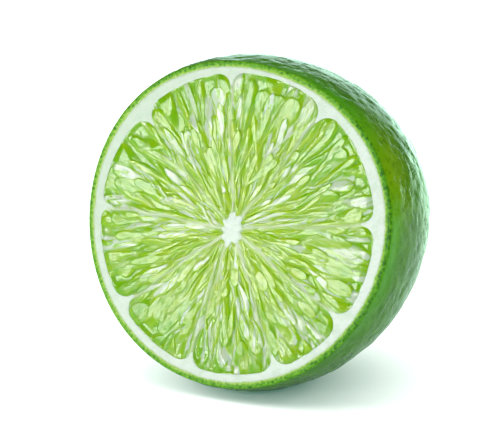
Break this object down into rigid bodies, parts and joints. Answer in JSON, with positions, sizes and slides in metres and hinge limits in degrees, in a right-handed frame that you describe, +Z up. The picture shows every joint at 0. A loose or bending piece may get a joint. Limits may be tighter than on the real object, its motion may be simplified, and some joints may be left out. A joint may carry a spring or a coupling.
{
  "type": "lime half",
  "caption": "Half of a green lime cut across, standing on its peel with the pulp face leaning back; for displays, drinks and food scenes.",
  "frame": {"origin": "middle of the bounding box's base, on the surface that the half stands on", "axes": "+Z up, -Y towards the viewer of the cut face, which leans back 13 degrees from upright; +X to the viewer's right"},
  "size_m": [0.0524, 0.044, 0.0497],
  "materials": {
    "peel": "satin",
    "pith": "matte",
    "pulp": "gloss"
  },
  "bodies": {
    "root": {"lime_half": "peel"}
  },
  "joints": []
}
